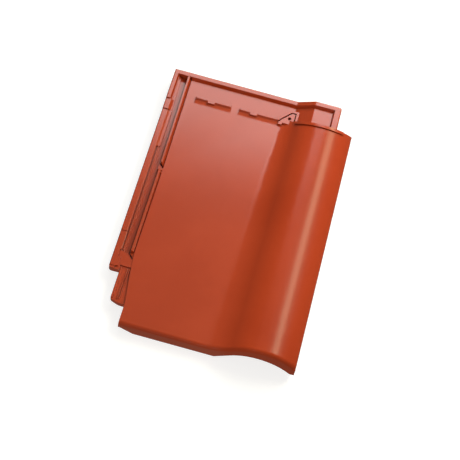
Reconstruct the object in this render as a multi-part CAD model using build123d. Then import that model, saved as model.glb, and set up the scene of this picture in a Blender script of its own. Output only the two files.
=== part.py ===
"""Interlocking clay pan tile, pressed and fired in one piece.

The flat pan lies between a side lock on the left and a roll on the right that covers the next
tile's lock. The head has a sliding floor, a raised platform in line with the roll, ribs against
driven water and a nail boss. The foot ends in a bullnosed lip, and two nibs hang from the tile's
head. All sizes are in millimetres: x from the left edge, y from the foot, z from the level floor
that the tile lies on. The last step moves the origin to the middle of the tile's footprint.
"""

import os
from math import acos, asin, cos, degrees, radians, sin, sqrt, tan

from build123d import *

# Whole tile
tile_width = 279.0
tile_length = 430.0
pan_height = 22.0
body_thickness = 11.0

# Roll, as seen from the foot
# Each flank is given as the valley's radius and the radius of the roll's left side
roll_right_run = 46.3
roll_rise = 26.3
foot_flank = (66.0, 71.0)
head_flank = (38.0, 53.0)
straight_foot_length = 30.0
roll_right_radius = 62.0
roll_edge_radius = 6.0
roll_end_setback = 46.8
roll_end_lean = 20.6
roll_end_wall = 11.0

# Collar raised on the head end of the roll
collar_length = 5.0
collar_height = 1.8
collar_left_run = 40.7
collar_right_run = 32.3

# Cover lock under the roll's right side
skirt_width = 7.0
skirt_gap_to_pan = 1.5
rib_slot_width = 6.5
rib_slot_rise = 6.5
cover_rib_width = 4.0
cover_rib_drop = 0.8
cover_slope = 1.0

# Foot lip
lip_thickness = 13.0
lip_back_slope = 0.32
lip_root_depth = 7.0
lip_edge_radius = 2.5
bullnose_radius = 5.5
lip_crown_height = 21.3
lip_arch_offset = 6.7
lip_arch_left_radius = 58.0
lip_arch_right_radius = 67.0
lip_flank_angle = 36.0
lip_skirt_width = 7.0
lip_corner_run = 20.5
lip_corner_rise = 10.0

# Cut-away corner at the left of the foot
body_left = 36.5
body_step_y = 30.5
lower_lock_left = 15.5
lower_lock_step_y = 78.0
lower_lock_corner_rise = 3.5
lower_lock_corner_run = 9.5
outline_corner_radius = 4.0
lock_bottom_radius = 3.0

# Head: the sliding floor, the platform in line with the roll, and the ridge along the edge
head_ridge_width = 7.8
head_ridge_height = 5.0
head_ridge_face_run = 2.2
head_ridge_low = 0.2
head_corner_radius = 4.0
head_edge_radius = 2.0
platform_right_inset = 24.5
platform_width = 39.5
platform_slope_run = 25.5
platform_rise = 12.5
platform_thickness = 9.5
platform_thin_thickness = 6.0
platform_thin_width = 13.0
platform_rim_width = 9.5
platform_rim_slope = 1.7
platform_bend_radius = 6.0

# Side lock: the outer ridge and its steps, the thin rib beside it, and the water channel
ridge_edge_radius = 1.5
ridge_width = 6.0
ridge_foot_width = 9.0
ridge_height = 5.0
middle_ridge_height = 3.2
lower_ridge_height = 1.6
tail_ridge_height = 0.8
middle_ridge_setback = 55.0
lower_ridge_setback = 74.0
tail_ridge_head_y = 139.0
broad_ridge_width = 8.0
fine_rib_x = 12.0
fine_rib_width = 1.2
fine_rib_head_y = 290.0
fine_rib_height = 0.4
fine_ledge_left_x = 9.4
ledge_depth = 1.8
channel_depth = 4.2
channel_left_x = 12.0
channel_left_low_x = 14.5
channel_taper_setback = 80.0
channel_run_out = 2.0
channel_right_x = 21.3

# Side lock: the inner rib in two stages, with a drain onto the pan at the foot of each
# Each rib end is given as its left side, the width of its top, and the run of its right flank
upper_rib_head = (21.4, 2.6, 3.0)
upper_rib_foot = (22.9, 2.4, 2.6)
lower_rib_head = (23.2, 2.4, 2.2)
lower_rib_foot = (22.5, 3.4, 1.0)
lock_rib_height = 4.6
lock_groove_depth = 1.6
pan_edge_run = 0.7
upper_stage_foot_y = 257.0
lower_stage_head_y = 251.0
lower_stage_foot_y = 109.0
drain_width = 2.0
drain_mouth = 3.0
drain_depth = 6.2
drain_run = 8.0
hook_rise = 3.5
hook_run = 7.0
hook_width = 2.4
hook_height = 1.2

# Side lock: the sunk tail below the channel and the strip beside the foot
lock_tail_depth = 1.2
tail_block_left_x = 7.0
tail_block_foot_rise = 5.0
tail_block_length = 15.0
lower_lock_depth = 2.8
lower_lock_pan_x = 29.5
lower_lock_pan_rise = 8.0
strip_rib_width = 3.0
strip_rib_height = 1.0
strip_rib_setback = 5.5
thin_rib_x = 25.0
thin_rib_slant = 1.3
thin_rib_pitch = 3.0
thin_rib_width = 1.2
thin_rib_height = 1.6

# Ribs against driven water
rib_setback = 39.0
rib_top_width = 3.0
rib_height = 4.0
rib_face_run = 2.0
ramp_run = 11.2
ramp_height = 1.3
rib_end_run = 2.0
rib_left_gap = 4.5
rib_gap_left_x = 97.0
rib_gap_width = 10.5
block_width = 12.5
block_end_run = 1.0
block_depth = 3.5
left_block_x = 66.0
right_block_x = 130.5

# Nail boss
boss_width = 29.5
boss_head_setback = 19.5
boss_toe_overlap = 6.0
boss_peak_width = 12.5
boss_frame_width = 3.6
boss_frame_height = 4.6
boss_plate_length = 25.5
boss_plate_height = 3.6
boss_groove_width = 1.4
boss_foot_length = 3.5
boss_foot_inset = 2.7
boss_foot_width = 5.5
nail_hole_radius = 2.5
nail_hole_right_inset = 12.0
nail_hole_head_inset = 15.0

# Underside: the hanging nibs and the rib that seals the overlap
nib_width = 30.0
nib_depth = 14.0
nib_draft = 8.0
nib_foot_setback = 23.0
left_nib_x = 62.0
right_nib_toe_inset = 41.5
seal_rib_y = 47.0
seal_rib_width = 6.0
seal_rib_drop = 6.0
seal_rib_left_gap = 9.5
seal_rib_toe_inset = 27.5

# How far a piece reaches into the one it is joined to or cut from
overlap = 1.0

# Places that follow from the sizes above
pan_underside = pan_height - body_thickness
skirt_bottom = pan_height + skirt_gap_to_pan
roll_height = pan_height + roll_rise
roll_length = tile_length - roll_end_setback
crown_x = tile_width - roll_right_run
head_inner_y = tile_length - head_ridge_width
platform_height = pan_height + platform_rise
platform_right_x = tile_width - platform_right_inset
platform_left_x = platform_right_x - platform_width
platform_toe_x = platform_left_x - platform_slope_run
platform_top = platform_height + head_ridge_height
clear_height = 2 * roll_height
roll_low_end_y = roll_length + roll_height * tan(radians(roll_end_lean))
rib_head_y = tile_length - rib_setback
boss_right_x = platform_toe_x + boss_toe_overlap
boss_left_x = boss_right_x - boss_width
boss_head_y = tile_length - boss_head_setback


def section(y):
    """Drawing plane across the tile at y, whose own axes are the tile's x and z."""
    return Plane(origin=(0, y, 0), x_dir=(1, 0, 0), z_dir=(0, -1, 0))


def along(outline, start_y, end_y):
    """Solid with a constant cross-section, given as lines or as a face, that runs along the tile."""
    face = outline if isinstance(outline, (Face, Sketch)) else make_face(outline)
    return extrude(section(start_y) * face, amount=start_y - end_y)


def tapered(start_face, start_y, end_face, end_y):
    """Solid that changes evenly from one cross-section to another along the tile."""
    return loft([section(start_y) * start_face, section(end_y) * end_face], ruled=True)


def across(points, start_x, end_x):
    """Solid with a constant side view, given as y and z, that runs across the tile."""
    side = Plane(origin=(start_x, 0, 0), x_dir=(0, 1, 0), z_dir=(1, 0, 0))
    return extrude(side * polygon(points), amount=end_x - start_x)


def upright(outline, low, high):
    """Solid that stands on a plan outline, given as points or as a face."""
    face = polygon(outline) if isinstance(outline, list) else outline
    return extrude(Plane.XY.offset(low) * face, amount=high - low)


def polygon(points):
    """Face with straight sides through the points."""
    return make_face(Polyline(*points, close=True))


def block(x_span, y_span, z_span):
    """Plain rectangular solid between pairs of limits."""
    (x0, x1), (y0, y1), (z0, z1) = x_span, y_span, z_span
    return upright([(x0, y0), (x1, y0), (x1, y1), (x0, y1)], z0, z1)


def round_corners(face, radius, points):
    """Fillet the corners of an outline that lie nearest to the points."""
    corners = [face.vertices().sort_by_distance(Vector(*point))[0] for point in points]
    return fillet(corners, radius)


def round_edges(solid, radius, points):
    """Fillet the edges that pass nearest to the points, with what runs on smoothly from them."""
    edges = [solid.edges().sort_by_distance(Vector(*point))[0] for point in points]
    return fillet(edges, radius)


def drop(radius, run):
    """How far an arc has fallen at a distance from its crown."""
    return radius - sqrt(radius**2 - run**2)


def roll_line(flank, depth, start_x, end_x):
    """Edges of the pan's and roll's face for a flank, or of a parallel line at a depth below it."""
    valley_radius, left_radius = flank
    turn = degrees(acos(1 - roll_rise / (valley_radius + left_radius)))
    toe_x = crown_x - (valley_radius + left_radius) * sin(radians(turn))
    right_radius = roll_right_radius - depth
    pan = Line((start_x, pan_height - depth), (toe_x, pan_height - depth))
    valley = JernArc(pan @ 1, (1, 0), valley_radius + depth, turn)
    left = JernArc(valley @ 1, valley % 1, left_radius - depth, -turn)
    right = JernArc(left @ 1, (1, 0), right_radius, -degrees(asin((end_x - crown_x) / right_radius)))
    return [pan, valley, left, right]


def roll_edge_height():
    """Height at which the roll's right arc meets the tile's right edge."""
    return roll_height - drop(roll_right_radius, tile_width - crown_x)


def body_outline(flank):
    """Cross-section of the pan and the roll, with the cover lock under the roll's right side."""
    top = roll_line(flank, 0, body_left, tile_width)
    slot_right = tile_width - skirt_width
    slot_left = slot_right - rib_slot_width
    rib_left = slot_left - cover_rib_width
    bottom = roll_line(flank, body_thickness, body_left, rib_left - cover_slope)
    cover_lock = Polyline(
        top[-1] @ 1,
        (tile_width, skirt_bottom),
        (slot_right + cover_slope, skirt_bottom),
        (slot_right, pan_height + rib_slot_rise),
        (slot_left + cover_slope, pan_height + rib_slot_rise),
        (slot_left, pan_height - cover_rib_drop),
        (rib_left, pan_height - cover_rib_drop),
        bottom[-1] @ 1,
    )
    left = Line(bottom[0] @ 0, top[0] @ 0)
    return top + [cover_lock] + bottom + [left]


def before_roll_end(length):
    """Block whose head side is the leaning plane of the roll's head end."""
    low_y = roll_low_end_y
    high_y = low_y - clear_height * tan(radians(roll_end_lean))
    side = [(low_y - length, 0), (low_y, 0), (high_y, clear_height), (high_y - length, clear_height)]
    return across(side, 0, tile_width)


def round_roll_edge(body, middle_y):
    """Round the roll's right edge on a piece of the body."""
    return round_edges(body, roll_edge_radius, [(tile_width, middle_y, roll_edge_height())])


def pan_and_roll():
    """Body of the tile: straight behind the bullnosed foot, then with a valley that narrows evenly."""
    foot_face, head_face = [make_face(body_outline(flank)) for flank in (foot_flank, head_flank)]
    foot = round_roll_edge(along(foot_face, 0, straight_foot_length), straight_foot_length / 2)
    foot = round_edges(foot, bullnose_radius, [(crown_x, 0, roll_height)])
    rest = tapered(foot_face, straight_foot_length, head_face, roll_low_end_y)
    rest = round_roll_edge(rest, roll_length / 2) & before_roll_end(roll_low_end_y)
    return foot + rest


def roll_end_wall_outline():
    """Cross-section of the wall that closes the roll's hollow at its head end."""
    top = roll_line(head_flank, body_thickness / 2, platform_toe_x, platform_right_x)
    low = platform_height - platform_thickness
    rest = Polyline(
        top[-1] @ 1,
        (platform_right_x, platform_height - platform_thin_thickness),
        (platform_left_x, low),
        (platform_toe_x, pan_underside),
        top[0] @ 0,
    )
    return top + [rest]


def roll_end():
    """Wall that closes the roll's hollow at its head end."""
    wall = along(roll_end_wall_outline(), roll_length - roll_end_wall, roll_low_end_y)
    return wall & before_roll_end(roll_end_wall)


def collar():
    """Low band raised on the head end of the roll, from the nail boss to beside the platform."""
    top = roll_line(head_flank, -collar_height, body_left, tile_width)
    low = roll_line(head_flank, body_thickness / 2, body_left, tile_width)
    outline = top + [Line(top[-1] @ 1, low[-1] @ 1)] + low + [Line(low[0] @ 0, top[0] @ 0)]
    x_span = (crown_x - collar_left_run, crown_x + collar_right_run)
    y_span = (roll_length - 2 * collar_length, roll_low_end_y)
    band = along(outline, *y_span) & block(x_span, y_span, (0, clear_height))
    return band & before_roll_end(collar_length)


def lip_outline():
    """Front view of the foot lip: its root inside the body, its arched nose and its left edge."""
    root = roll_line(foot_flank, lip_root_depth, body_left, tile_width - skirt_width)
    arch_x = crown_x - lip_arch_offset
    arch_z = roll_height - lip_crown_height
    turn = radians(lip_flank_angle)
    flank_top_x = arch_x - lip_arch_left_radius * sin(turn)
    flank_top_z = arch_z - lip_arch_left_radius * (1 - cos(turn))
    flank_toe_x = flank_top_x - flank_top_z / tan(turn)
    right_run = tile_width - lip_skirt_width - arch_x
    right_turn = degrees(asin(right_run / lip_arch_right_radius))
    right = JernArc((arch_x, arch_z), (1, 0), lip_arch_right_radius, -right_turn)
    left = JernArc((arch_x, arch_z), (-1, 0), lip_arch_left_radius, lip_flank_angle)
    corner = (tile_width, (right @ 1).Y)
    right_edge = Polyline(root[-1] @ 1, (tile_width, skirt_bottom + overlap), corner)
    nose = [
        Line(corner, right @ 1),
        right,
        left,
        Line(left @ 1, (flank_toe_x, 0)),
        Line((flank_toe_x, 0), (body_left + lip_corner_run, 0)),
        Line((body_left + lip_corner_run, 0), (body_left, lip_corner_rise)),
    ]
    left_edge = Line((body_left, lip_corner_rise), root[0] @ 0)
    return root + [right_edge], nose, left_edge


def foot_lip():
    """Lip that hangs from the foot edge; its back leans towards the head for the mould's draft."""
    top, nose, left_edge = lip_outline()
    run = lip_thickness + lip_back_slope * clear_height
    lip = along(top + nose + [left_edge], 0, run)
    side = [(0, 0), (lip_thickness, 0), (run, clear_height), (0, clear_height)]
    lip &= across(side, 0, tile_width)
    middles = [edge @ 0.5 for edge in nose]
    return round_edges(lip, lip_edge_radius, [(middle.X, 0, middle.Y) for middle in middles])


def platform_line(rise):
    """Points of the head's cross-section at a height above the sliding floor and platform."""
    return [
        (platform_toe_x, pan_height + rise),
        (platform_left_x, platform_height + rise),
        (platform_right_x, platform_height + rise),
    ]


def head_floor():
    """Sliding floor at the head and the platform that carries the roll of the tile above."""
    thin_left = platform_right_x - platform_thin_width
    low = platform_height - platform_thickness
    thin_low = platform_height - platform_thin_thickness
    outline = polygon(
        [(body_left, pan_height)]
        + platform_line(0)
        + [
            (platform_right_x, thin_low),
            (thin_left, thin_low),
            (thin_left - cover_slope, low),
            (platform_left_x, low),
            (platform_toe_x, pan_underside),
            (body_left, pan_underside),
        ]
    )
    outline = round_corners(outline, platform_bend_radius, platform_line(0)[:2])
    return along(outline, roll_length - roll_end_wall, tile_length)


def head_ridge_outline(height):
    """Cross-section of the head ridge, which starts below the floor it stands on."""
    outline = polygon(
        [(0, pan_height - overlap), (0, pan_height + height)]
        + platform_line(height)
        + platform_line(-overlap)[::-1]
    )
    return round_corners(outline, platform_bend_radius, platform_line(height)[:2])


def head_ridge_face():
    """Slope that climbs from the floor to the head ridge's top on the side towards the foot."""
    foot_y = head_inner_y - head_ridge_face_run
    return tapered(
        head_ridge_outline(head_ridge_low),
        foot_y,
        head_ridge_outline(head_ridge_height),
        head_inner_y,
    )


def platform_rim():
    """Rim along the platform's right edge, sloped inside."""
    top_left = platform_right_x - platform_rim_width
    outline = polygon(
        [
            (top_left - platform_rim_slope, platform_height - overlap),
            (platform_right_x, platform_height - overlap),
            (platform_right_x, platform_top),
            (top_left, platform_top),
            (top_left - platform_rim_slope, platform_height),
        ]
    )
    return along(outline, roll_length - roll_end_wall, tile_length)


def head_frame():
    """Ridge along the head and rim along the platform, rounded in one run along their outer edge."""
    ridge = along(head_ridge_outline(head_ridge_height), head_inner_y, tile_length)
    frame = ridge + platform_rim() - head_corner()
    middle_y = (head_inner_y + tile_length) / 2
    floor_top = pan_height + head_ridge_height
    outer_points = [(0, middle_y, floor_top), (platform_toe_x / 2, tile_length, floor_top)]
    return round_edges(frame, head_edge_radius, outer_points) + head_ridge_face()


def lock_base():
    """Slab under the side lock, with its cut-away steps towards the foot."""
    outline = polygon(
        [
            (0, tile_length),
            (0, lower_lock_step_y),
            (lower_lock_left, lower_lock_step_y),
            (lower_lock_left, body_step_y + lower_lock_corner_rise),
            (lower_lock_left + lower_lock_corner_run, body_step_y),
            (body_left, body_step_y),
            (body_left, tile_length),
        ]
    )
    corners = [(0, lower_lock_step_y), (lower_lock_left, body_step_y + lower_lock_corner_rise)]
    outline = round_corners(outline, outline_corner_radius, corners)
    slab = upright(outline, pan_underside, pan_height)
    return round_edges(
        slab,
        lock_bottom_radius,
        [
            (0, tile_length / 2, pan_underside),
            (lower_lock_left, (body_step_y + lower_lock_step_y) / 2, pan_underside),
        ],
    )


def outer_ridge():
    """Left ridge of the side lock, lower and broader in steps from the head to the foot."""
    middle_head_y = tile_length - middle_ridge_setback
    lower_head_y = tile_length - lower_ridge_setback
    head_step = (middle_head_y, head_inner_y, ridge_height, ridge_width, ridge_foot_width)
    broad = (broad_ridge_width, channel_left_low_x)
    steps = [
        head_step,
        (lower_head_y, middle_head_y, middle_ridge_height, *broad),
        (tail_ridge_head_y, lower_head_y, lower_ridge_height, *broad),
        (lower_lock_step_y + outline_corner_radius, tail_ridge_head_y, tail_ridge_height, *broad),
    ]
    parts = []
    for start_y, end_y, height, top_x, foot_x in steps:
        outline = polygon(
            [
                (0, pan_height - ledge_depth),
                (foot_x, pan_height - ledge_depth),
                (top_x, pan_height + height),
                (0, pan_height + height),
            ]
        )
        outline = round_corners(outline, ridge_edge_radius, [(0, pan_height + height)])
        parts.append(along(outline, start_y, end_y))
    return parts


def channel_outline(left_x):
    """Cross-section of the lock's water channel, open at the top."""
    low = pan_height - channel_depth
    return polygon(
        [(left_x, low), (channel_right_x, low), (channel_right_x, roll_height), (left_x, roll_height)]
    )


def channel():
    """Water channel of the side lock, which narrows below the head, and the ledges on its left."""
    taper_end_y = tile_length - channel_taper_setback
    narrow = channel_outline(channel_left_low_x)
    taper = tapered(channel_outline(channel_left_x), head_inner_y, narrow, taper_end_y)
    ledge_span = (pan_height - ledge_depth, roll_height)
    head_ledge = block(
        (ridge_foot_width, channel_right_x), (tile_length - middle_ridge_setback, head_inner_y), ledge_span
    )
    fine_ledge = block(
        (fine_ledge_left_x, channel_right_x), (lower_stage_foot_y, fine_rib_head_y), ledge_span
    )
    floor = along(narrow, lower_stage_foot_y - channel_run_out, taper_end_y)
    return taper + floor + head_ledge + fine_ledge


def stage_faces(rib_x, rib_width, flank_run):
    """Cross-sections of the lock's inner rib, of the groove it stands in, and of the slot beside it."""
    low = pan_height - channel_depth
    rib_top = pan_height + lock_rib_height
    groove_z = pan_height - lock_groove_depth
    flank_x = rib_x + rib_width + flank_run
    pan_x = flank_x + pan_edge_run
    rib = polygon(
        [(rib_x, low), (rib_x, rib_top), (rib_x + rib_width, rib_top), (flank_x, groove_z), (flank_x, low)]
    )
    groove = polygon(
        [
            (rib_x, groove_z),
            (flank_x, groove_z),
            (pan_x, pan_height),
            (pan_x, roll_height),
            (rib_x, roll_height),
        ]
    )
    slot_left = rib_x - drain_width
    slot_low = pan_height - drain_depth
    slot = polygon(
        [(slot_left, slot_low), (rib_x, slot_low), (rib_x, roll_height), (slot_left, roll_height)]
    )
    return rib, groove, slot


def lock_stage(head_y, foot_y, head_sizes, foot_sizes):
    """Inner rib of one stage, and its groove and slot, which end in a diagonal drain."""
    ends = zip(stage_faces(*head_sizes), stage_faces(*foot_sizes))
    rib, groove, slot = [tapered(head_face, head_y, foot_face, foot_y) for head_face, foot_face in ends]
    slot_left = foot_sizes[0] - drain_width
    pan_x = sum(foot_sizes) + pan_edge_run
    turn_y = foot_y + drain_run
    plan = upright(
        [
            (0, head_y),
            (0, turn_y),
            (slot_left, turn_y),
            (pan_x, foot_y),
            (body_left, foot_y),
            (body_left, head_y),
        ],
        0,
        clear_height,
    )
    drain = upright(
        [
            (slot_left, turn_y),
            (slot_left, turn_y - drain_mouth),
            (pan_x, foot_y - drain_mouth),
            (pan_x, foot_y),
        ],
        pan_height - drain_depth,
        roll_height,
    )
    return rib & plan, (groove & plan) + (slot & plan) + drain


def stage_hook():
    """Diagonal ridge that turns the lower stage's head towards the pan, below the upper drain."""
    rib_x, rib_width, flank_run = lower_rib_head
    left_x = rib_x - drain_width
    right_x = rib_x + rib_width + flank_run + pan_edge_run
    top_y = lower_stage_head_y + hook_rise
    return upright(
        [
            (left_x, top_y),
            (left_x, top_y - hook_width),
            (right_x, top_y - hook_run - hook_width),
            (right_x, top_y - hook_run),
        ],
        pan_height - channel_depth,
        pan_height + hook_height,
    )


def fine_rib():
    """Thin rib between the outer ridge and the channel in the lower part of the lock."""
    half = fine_rib_width / 2
    return block(
        (fine_rib_x - half, fine_rib_x + half),
        (lower_stage_foot_y, fine_rib_head_y),
        (pan_height - ledge_depth, pan_height + fine_rib_height),
    )


def lock_tail():
    """Sunk floor where the channel ends, and its raised block."""
    floor = pan_height - lock_tail_depth
    low_y = lower_lock_step_y - overlap
    sunk = upright(
        [
            (broad_ridge_width, low_y),
            (lower_lock_left + strip_rib_width, low_y),
            (lower_lock_pan_x, lower_lock_step_y + lower_lock_pan_rise),
            (sum(lower_rib_foot) + pan_edge_run, lower_stage_foot_y),
            (broad_ridge_width, lower_stage_foot_y),
        ],
        floor,
        roll_height,
    )
    foot_y = lower_lock_step_y + tail_block_foot_rise
    bump = block(
        (tail_block_left_x, fine_rib_x),
        (foot_y, foot_y + tail_block_length),
        (floor - overlap, pan_height + tail_ridge_height),
    )
    return sunk, [bump]


def lower_lock():
    """Sunk strip of the lock beside the foot, with its edge rib and two thin slanted ribs."""
    floor = pan_height - lower_lock_depth
    outer_x = lower_lock_left - overlap
    head_y = lower_lock_step_y + lower_lock_pan_rise
    sunk = upright(
        [
            (outer_x, body_step_y - overlap),
            (body_left, body_step_y - overlap),
            (body_left, body_step_y),
            (lower_lock_pan_x, head_y),
            (outer_x, head_y),
        ],
        floor,
        roll_height,
    )
    foot_y = body_step_y + strip_rib_setback
    rib_head_y = lower_lock_step_y + strip_rib_setback
    right_x = lower_lock_left + strip_rib_width
    edge_rib = polygon(
        [
            (lower_lock_left, floor - overlap),
            (right_x, floor - overlap),
            (right_x, floor + strip_rib_height),
            (lower_lock_left, floor + strip_rib_height),
        ]
    )
    edge_rib = round_corners(edge_rib, strip_rib_height, [(lower_lock_left, floor + strip_rib_height)])
    ribs = [along(edge_rib, foot_y, rib_head_y)]
    for number in range(2):
        head_x = thin_rib_x + number * thin_rib_pitch
        foot_x = head_x - thin_rib_slant
        plan = [
            (foot_x, foot_y),
            (foot_x + thin_rib_width, foot_y),
            (head_x + thin_rib_width, rib_head_y),
            (head_x, rib_head_y),
        ]
        ribs.append(upright(plan, floor - overlap, floor + thin_rib_height))
    return sunk, ribs


def drafted(x_span, end_run, low, crest):
    """Front view of a raised piece whose two ends lean inwards as they rise."""
    left_x, right_x = x_span
    return polygon([(left_x, low), (right_x, low), (right_x - end_run, crest), (left_x + end_run, crest)])


def water_ribs():
    """Two ribs across the sliding floor, each with a block, and the ramp that climbs to them."""
    low = pan_height - ramp_height
    crest = pan_height + rib_height
    edge_y = rib_head_y - rib_top_width
    gap_right_x = rib_gap_left_x + rib_gap_width
    spans = [
        (body_left + rib_left_gap, rib_gap_left_x, left_block_x),
        (gap_right_x, boss_left_x + boss_frame_width, right_block_x),
    ]
    profile = [
        (rib_head_y - ramp_run, low),
        (rib_head_y - ramp_run, pan_height),
        (edge_y - rib_face_run, pan_height + ramp_height),
        (edge_y, crest),
        (rib_head_y, crest),
        (rib_head_y, low),
    ]
    half = block_width / 2
    ribs = []
    for left_x, right_x, block_x in spans:
        rib_front = drafted((left_x, right_x), rib_end_run, low, crest)
        block_front = drafted((block_x - half, block_x + half), block_end_run, low, crest)
        ribs.append(across(profile, left_x, right_x) & along(rib_front, rib_head_y - ramp_run, rib_head_y))
        ribs.append(along(block_front, edge_y - block_depth, rib_head_y))
    return ribs


def boss_outline(foot_y, inset):
    """Gable-shaped plan of the nail boss, or of a parallel outline inside it, down to foot_y."""
    house = polygon(
        [
            (boss_left_x, foot_y - inset),
            (boss_right_x, foot_y - inset),
            (boss_right_x, boss_head_y),
            (boss_right_x - boss_peak_width, boss_head_y),
            (boss_left_x, rib_head_y),
        ]
    )
    return offset(house, -inset, kind=Kind.INTERSECTION) if inset else house


def nail_boss():
    """Gable-shaped frame, open towards the foot, around a plate that has a foot at its left."""
    low = pan_height - overlap
    plate_foot_y = boss_head_y - boss_plate_length
    foot_y = plate_foot_y - boss_foot_length
    frame_top = pan_height + boss_frame_height
    plate_top = pan_height + boss_plate_height
    frame = upright(boss_outline(foot_y, 0), low, frame_top)
    frame -= upright(boss_outline(foot_y - overlap, boss_frame_width), 0, clear_height)
    left_leg = block(
        (boss_left_x - overlap, boss_left_x + boss_frame_width + overlap),
        (foot_y - overlap, rib_head_y - rib_top_width),
        (0, clear_height),
    )
    foot_left_x = boss_left_x + boss_foot_inset
    plate_foot = block(
        (foot_left_x, foot_left_x + boss_foot_width),
        (foot_y, rib_head_y - rib_top_width - boss_groove_width),
        (low, plate_top),
    )
    plate = upright(boss_outline(plate_foot_y, boss_frame_width + boss_groove_width), low, plate_top)
    return [frame - left_leg, plate + plate_foot]


def nib(centre_x):
    """Hanging nib: upright towards the foot, where it bears on the batten, and drafted elsewhere."""
    draft = pan_underside * tan(radians(nib_draft))
    foot_y = tile_length - nib_foot_setback
    head_y = foot_y + nib_depth
    half = nib_width / 2
    side = [(foot_y, pan_underside), (foot_y, 0), (head_y - draft, 0), (head_y, pan_underside)]
    front = polygon(
        [
            (centre_x - half, pan_underside),
            (centre_x - half + draft, 0),
            (centre_x + half - draft, 0),
            (centre_x + half, pan_underside),
        ]
    )
    return across(side, centre_x - half, centre_x + half) & along(front, foot_y, head_y)


def seal_rib():
    """Low rib under the pan that hangs between the ribs and the head ridge of the tile below."""
    half = seal_rib_width / 2
    low = pan_underside - seal_rib_drop
    root = pan_underside + overlap
    profile = [
        (seal_rib_y - half, root),
        (seal_rib_y - half + cover_slope, low),
        (seal_rib_y + half - cover_slope, low),
        (seal_rib_y + half, root),
    ]
    return across(profile, body_left + seal_rib_left_gap, platform_toe_x - seal_rib_toe_inset)


def head_corner():
    """Cutter that rounds the head's right corner in plan."""
    centre_x = platform_right_x - head_corner_radius
    centre_y = tile_length - head_corner_radius
    corner = block(
        (centre_x, platform_right_x + overlap),
        (centre_y, tile_length + overlap),
        (0, clear_height),
    )
    return corner - Pos(centre_x, centre_y, clear_height / 2) * Cylinder(head_corner_radius, clear_height)


def roof_tile():
    """The whole tile, built up from its forms."""
    tile = pan_and_roll() + foot_lip() + (head_floor() - head_corner()) + lock_base() + head_frame()
    tile += roll_end()
    tile += collar()
    tile += outer_ridge()
    tile -= channel()
    for head_y, foot_y, head_sizes, foot_sizes in (
        (head_inner_y, upper_stage_foot_y, upper_rib_head, upper_rib_foot),
        (lower_stage_head_y, lower_stage_foot_y - drain_run, lower_rib_head, lower_rib_foot),
    ):
        rib, cuts = lock_stage(head_y, foot_y, head_sizes, foot_sizes)
        tile = tile - cuts + rib
    tile += [stage_hook(), fine_rib()]
    for sunk, raised in (lock_tail(), lower_lock()):
        tile = tile - sunk + raised
    tile += water_ribs() + nail_boss()
    tile += [nib(left_nib_x), nib(platform_toe_x - right_nib_toe_inset), seal_rib()]
    nail_hole = Cylinder(nail_hole_radius, clear_height)
    nail_hole_x = boss_right_x - nail_hole_right_inset
    nail_hole_y = boss_head_y - nail_hole_head_inset
    return tile - Pos(nail_hole_x, nail_hole_y, clear_height / 2) * nail_hole


tile = Pos(-tile_width / 2, -tile_length / 2, 0) * roof_tile()
os.makedirs("parts", exist_ok=True)
export_step(tile, "parts/pan_tile.step")
print("pan_tile", round(tile.volume), tile.bounding_box(), len(tile.solids()))
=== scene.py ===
"""Looks of the clay roof tile: its engobed clay, a pale floor, soft studio light and the camera.

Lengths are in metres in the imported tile's frame: x from the side lock to the roll, y from the foot
to the head, z up from the floor that the tile lies on. Colours are linear, and powers are in watts.
"""

from math import cos, pi, radians, sin

import bmesh
import bpy
from mathutils import Matrix, Vector


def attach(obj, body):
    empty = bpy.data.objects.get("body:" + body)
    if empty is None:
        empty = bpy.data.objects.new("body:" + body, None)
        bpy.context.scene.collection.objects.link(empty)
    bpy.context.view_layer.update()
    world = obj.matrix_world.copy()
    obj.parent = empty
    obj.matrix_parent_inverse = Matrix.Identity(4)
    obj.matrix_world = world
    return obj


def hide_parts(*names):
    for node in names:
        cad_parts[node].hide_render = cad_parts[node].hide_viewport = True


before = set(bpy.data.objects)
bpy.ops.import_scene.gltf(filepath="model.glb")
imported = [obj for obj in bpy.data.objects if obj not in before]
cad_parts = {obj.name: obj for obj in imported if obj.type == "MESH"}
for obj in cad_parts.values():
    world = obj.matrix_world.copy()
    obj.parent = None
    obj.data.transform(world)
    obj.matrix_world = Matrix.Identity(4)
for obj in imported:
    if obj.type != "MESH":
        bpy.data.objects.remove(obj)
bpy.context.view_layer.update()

# Clay: the engobe coat and the bare clay, each between two shades, and painted shade on the coat in tight
# corners
coat_shades = ((0.352, 0.0375, 0.0088, 1), (0.382, 0.0430, 0.0108, 1))
painted_corner_shade = (0.150, 0.0150, 0.0050, 1)
bare_shades = ((0.36, 0.095, 0.036, 1), (0.44, 0.130, 0.052, 1))

# Clay: roughness of the bare clay, and how the coat, the roll and the clouding change it
bare_roughness = 0.62
coat_smoothing = 0.455
roll_matting = 0.06
cloud_unevenness = 0.04

# Clay: the clear film on the coat, and the dull surface under it
base_reflection = 0.25
film_weight = 0.5
film_roughness = 0.17

# Clay: relief heights as shares of the unit height, soft edges and how far the painted corner shade
# reaches
wave_height = 0.05
grain_height = 0.010
relief_unit = 0.001
soft_edge_radius = 0.0008
painted_shade_reach = 0.005

# Clay: where the finish changes, by the upward facing, then by places across and along the tile
coat_facing = (-0.65, -0.35)
roll_start_x = (0.030, 0.050)
roll_end_y = (0.164, 0.169)

# Tile surface: vertices closer than this are one, and edges that turn more than this stay crisp
weld_distance = 1e-6
crisp_angle = 24

# Lip corner: the plug's outline as x and z, clockwise seen from the foot, and its ends along y
plug_outline = [(0.12835, 0.02860), (0.13310, 0.02860), (0.13345, 0.02465), (0.13235, 0.02465)]
plug_ends = (-0.21498, -0.1932)

# Floor: flat as far as its reach, then bent up into a wall
floor_reach = 4.5
floor_bend = 1.5
floor_wall_top = 5.0
floor_grey = 0.4
floor_glow = 0.75

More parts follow.
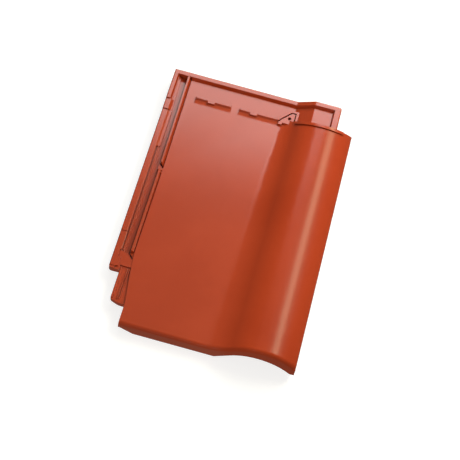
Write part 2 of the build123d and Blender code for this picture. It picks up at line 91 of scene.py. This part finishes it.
# Camera: place, aim, turn about its axis and angle of view, which give the photograph's outline
camera_place = Vector((0.0487, -0.9964, 1.5984))
camera_aim = Vector((0.00504, -0.02989, 0.022))
camera_roll = 13.12
camera_lens = 103.8
camera_sensor_width = 36.0


# Shader building

class Value:
    """A number that changes over the surface. Arithmetic on it adds Math nodes."""

    def __init__(self, finish, socket):
        self.finish = finish
        self.socket = socket

    def math(self, operation, *terms):
        node = self.finish.node("ShaderNodeMath", {"operation": operation}, dict(enumerate(terms)))
        return Value(self.finish, node.outputs[0])

    def __add__(self, other):
        return self.math("ADD", self, other)

    def __sub__(self, other):
        return self.math("SUBTRACT", self, other)

    def __rsub__(self, other):
        return self.math("SUBTRACT", other, self)

    def __mul__(self, other):
        return self.math("MULTIPLY", self, other)

    def __rmul__(self, other):
        return self.math("MULTIPLY", other, self)

    def between(self, low, high):
        """0 below low, 1 above high, and smooth between."""
        node = self.finish.node(
            "ShaderNodeMapRange",
            {"interpolation_type": "SMOOTHSTEP"},
            {"Value": self, "From Min": low, "From Max": high},
        )
        return Value(self.finish, node.outputs[0])


class Finish:
    """One material, whose nodes all come from the node method."""

    def __init__(self, name):
        self.material = bpy.data.materials.new(name)
        self.material.use_nodes = True
        self.tree = self.material.node_tree
        self.tree.nodes.clear()

    def node(self, kind, settings=None, inputs=None):
        node = self.tree.nodes.new(kind)
        for name, setting in (settings or {}).items():
            setattr(node, name, setting)
        for name, given in (inputs or {}).items():
            if isinstance(given, Value):
                given = given.socket
            if isinstance(given, bpy.types.NodeSocket):
                self.tree.links.new(given, node.inputs[name])
            else:
                node.inputs[name].default_value = given
        return node

    def coordinates(self, kind):
        """Coordinates on the object: Object gives places in metres, Normal gives facings."""
        return self.node("ShaderNodeTexCoord").outputs[kind]

    def along_axis(self, kind, axis):
        """One axis of the coordinates on the object."""
        split = self.node("ShaderNodeSeparateXYZ", {}, {"Vector": self.coordinates(kind)})
        return Value(self, split.outputs[axis])

    def noise(self, scale, detail, roughness):
        inputs = {"Scale": scale, "Detail": detail, "Roughness": roughness}
        inputs["Vector"] = self.coordinates("Object")
        return Value(self, self.node("ShaderNodeTexNoise", {}, inputs).outputs[0])

    def openness(self, reach):
        """0 deep in a corner of the piece and 1 on open faces, for corners up to reach wide."""
        settings = {"samples": 8, "only_local": True}
        node = self.node("ShaderNodeAmbientOcclusion", settings, {"Distance": reach})
        return Value(self, node.outputs["AO"])

    def blend(self, factor, first, second):
        node = self.node("ShaderNodeMix", {"data_type": "RGBA"}, {0: factor, 6: first, 7: second})
        return node.outputs[2]

    def finish(self, shader):
        self.node("ShaderNodeOutputMaterial", {}, {"Surface": shader.outputs[0]})
        return self.material


# Clay

def engobed_clay():
    """Satin terracotta engobe with painted shade in tight corners, and bare matt clay on what faces the
    floor.

    The roll has no clear film, so it is a little more matt than the pan and the head.
    """
    clay = Finish("engobed_clay")
    cloud = clay.noise(scale=9.0, detail=4.0, roughness=0.55)
    wave = clay.noise(scale=55.0, detail=2.0, roughness=0.5)
    grain = clay.noise(scale=900.0, detail=3.0, roughness=0.6)
    coated = clay.along_axis("Normal", "Z").between(*coat_facing)
    beyond_roll = clay.along_axis("Object", "Y").between(*roll_end_y)
    roll = clay.along_axis("Object", "X").between(*roll_start_x) * (1 - beyond_roll)

    open_coat = clay.blend(cloud.between(0.35, 0.65), *coat_shades)
    # Painted shade: where the occlusion finds a tight corner, the coat is blended towards a dark colour
    coat = clay.blend(clay.openness(painted_shade_reach).between(0.15, 0.75), painted_corner_shade, open_coat)
    bare = clay.blend(grain.between(0.3, 0.7), *bare_shades)
    roughness = bare_roughness - coat_smoothing * coated + roll_matting * coated * roll
    edge_normal = clay.node("ShaderNodeBevel", {"samples": 6}, {"Radius": soft_edge_radius}).outputs[0]
    relief = wave_height * wave + grain_height * grain
    bump = clay.node(
        "ShaderNodeBump",
        {},
        {"Strength": 1.0, "Distance": relief_unit, "Height": relief, "Normal": edge_normal},
    )
    shader = clay.node(
        "ShaderNodeBsdfPrincipled",
        {},
        {
            "Base Color": clay.blend(coated, bare, coat),
            "Roughness": roughness + cloud_unevenness * (cloud - 0.5),
            "Specular IOR Level": base_reflection,
            "Coat Weight": film_weight * coated * (1 - roll),
            "Coat Roughness": film_roughness,
            "Normal": bump.outputs[0],
        },
    )
    return clay.finish(shader)


def floor_paper():
    """Plain pale studio floor, which glows a little so that it stays white."""
    paper = Finish("pale_floor")
    shader = paper.node(
        "ShaderNodeBsdfPrincipled",
        {},
        {
            "Base Color": (floor_grey, floor_grey, floor_grey, 1),
            "Roughness": 1.0,
            "Specular IOR Level": 0.0,
            "Emission Color": (1, 1, 1, 1),
            "Emission Strength": floor_glow,
        },
    )
    return paper.finish(shader)


# Pieces

def lip_corner(form):
    """Plug the small hole that the solid's cover slot leaves through the foot lip."""
    near, far = [[form.verts.new((x, y, z)) for x, z in plug_outline] for y in plug_ends]
    form.faces.new(reversed(near))
    form.faces.new(far)
    for number in range(len(near)):
        after = (number + 1) % len(near)
        form.faces.new((near[number], near[after], far[after], far[number]))


def finished_tile(node):
    """Merged copy of the solid tile with smooth curves, crisp flats and its material."""
    form = bmesh.new()
    form.from_mesh(node.data)
    lip_corner(form)
    bmesh.ops.remove_doubles(form, verts=form.verts, dist=weld_distance)
    for face in form.faces:
        face.smooth = True
    for edge in form.edges:
        edge.smooth = len(edge.link_faces) == 2 and edge.calc_face_angle(0) < radians(crisp_angle)
    mesh = bpy.data.meshes.new("roof_tile")
    form.to_mesh(mesh)
    form.free()
    mesh.materials.append(engobed_clay())
    piece = bpy.data.objects.new("roof_tile", mesh)
    bpy.context.collection.objects.link(piece)
    normals = piece.modifiers.new("flat_faces_first", "WEIGHTED_NORMAL")
    normals.keep_sharp = True
    normals.weight = 100
    return piece


def studio_floor(segments=96, flat_rings=8, bend_step=10):
    """Round floor that the tile lies on, which bends up into a wall all around."""
    profile = [(floor_reach * ring / flat_rings, 0.0) for ring in range(1, flat_rings + 1)]
    for angle in range(bend_step, 90 + bend_step, bend_step):
        turn = radians(angle)
        profile.append((floor_reach + floor_bend * sin(turn), floor_bend * (1 - cos(turn))))
    profile.append((floor_reach + floor_bend, floor_wall_top))
    turns = [2 * pi * number / segments for number in range(segments)]
    points = [(0, 0, 0)] + [(r * cos(turn), r * sin(turn), z) for r, z in profile for turn in turns]
    faces = [(0, 1 + number, 1 + (number + 1) % segments) for number in range(segments)]
    for ring in range(len(profile) - 1):
        inner = 1 + ring * segments
        outer = inner + segments
        for number in range(segments):
            after = (number + 1) % segments
            faces.append((inner + number, outer + number, outer + after, inner + after))
    mesh = bpy.data.meshes.new("floor")
    mesh.from_pydata(points, [], faces)
    for face in mesh.polygons:
        face.use_smooth = True
    mesh.materials.append(floor_paper())
    floor = bpy.data.objects.new("floor", mesh)
    floor.visible_glossy = False
    floor.visible_diffuse = False
    floor.visible_shadow = False
    bpy.context.collection.objects.link(floor)
    return floor


# Light and camera

def soft_panel(name, place, aim, size, power, colour=(1, 1, 1), rising=(0, 0, 1), mirrored=True):
    """Rectangular studio light that faces a point, its height along rising; glossy clay may mirror it."""
    light = bpy.data.lights.new(name, "AREA")
    light.shape = "RECTANGLE"
    light.size, light.size_y = size
    light.energy = power
    light.color = colour
    back = (Vector(place) - Vector(aim)).normalized()
    side = Vector(rising).cross(back).normalized()
    turn = Matrix((side, back.cross(side), back)).transposed()
    panel = bpy.data.objects.new(name, light)
    panel.matrix_world = Matrix.Translation(place) @ turn.to_4x4()
    panel.visible_glossy = mirrored
    bpy.context.collection.objects.link(panel)


def studio_panels():
    """Two plain lights for the shape, then the panels that the engobe mirrors.

    Two stand behind the head, one hangs above, and one lies along the roll and draws its highlight.
    """
    soft_panel("key", place=(0.52, 0.40, 0.78), aim=(0, 0, 0), size=(0.6, 0.6), power=5.3, mirrored=False)
    soft_panel(
        "front_fill",
        place=(-0.3, -1.8, 0.8),
        aim=(0, -0.1, 0),
        size=(1.0, 0.8),
        power=12,
        mirrored=False,
    )
    soft_panel(
        "head_panel",
        place=(-0.23, 1.97, 1.375),
        aim=(-0.23, 0.12, 0),
        size=(0.57, 1.6),
        power=13.5,
    )
    soft_panel(
        "low_head_panel",
        place=(0.22, 1.97, 1.235),
        aim=(0.22, 0.12, 0),
        size=(0.33, 1.6),
        power=11.0,
    )
    soft_panel(
        "ceiling_panel",
        place=(1.1, 0.9, 2.5),
        aim=(1.1, 0.9, 0),
        size=(3.8, 2.4),
        power=7,
        colour=(1.0, 0.95, 0.7),
        rising=(0, 1, 0),
    )
    soft_panel(
        "roll_panel",
        place=(1.08, 1.296, 1.80),
        aim=(0.11, 0, 0.046),
        size=(0.56, 2.0),
        power=26,
        colour=(1.0, 0.93, 0.6),
        rising=(0.16, -0.96, 0.25),
    )


def pale_surroundings(strength, colour):
    """Even light from all around."""
    world = bpy.data.worlds.new("surroundings")
    world.use_nodes = True
    background = world.node_tree.nodes["Background"]
    background.inputs["Color"].default_value = colour
    background.inputs["Strength"].default_value = strength
    bpy.context.scene.world = world


def photo_camera():
    """Camera that shows the tile's outline as the photograph does."""
    data = bpy.data.cameras.new("camera")
    data.sensor_width = camera_sensor_width
    data.lens = camera_lens
    data.clip_start = 0.05
    data.clip_end = 50.0
    level = (camera_aim - camera_place).to_track_quat("-Z", "Y").to_matrix().to_4x4()
    roll = Matrix.Rotation(radians(camera_roll), 4, "Z")
    camera = bpy.data.objects.new("camera", data)
    camera.matrix_world = Matrix.Translation(camera_place) @ level @ roll
    bpy.context.collection.objects.link(camera)
    bpy.context.scene.camera = camera


photo_camera()
pale_surroundings(strength=0.22, colour=(1, 0.93, 0.72, 1))
studio_panels()

floor = studio_floor()

tile = finished_tile(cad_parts["pan_tile"])
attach(tile, "root")
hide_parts("pan_tile")

bpy.context.scene.view_settings.view_transform = "Standard"
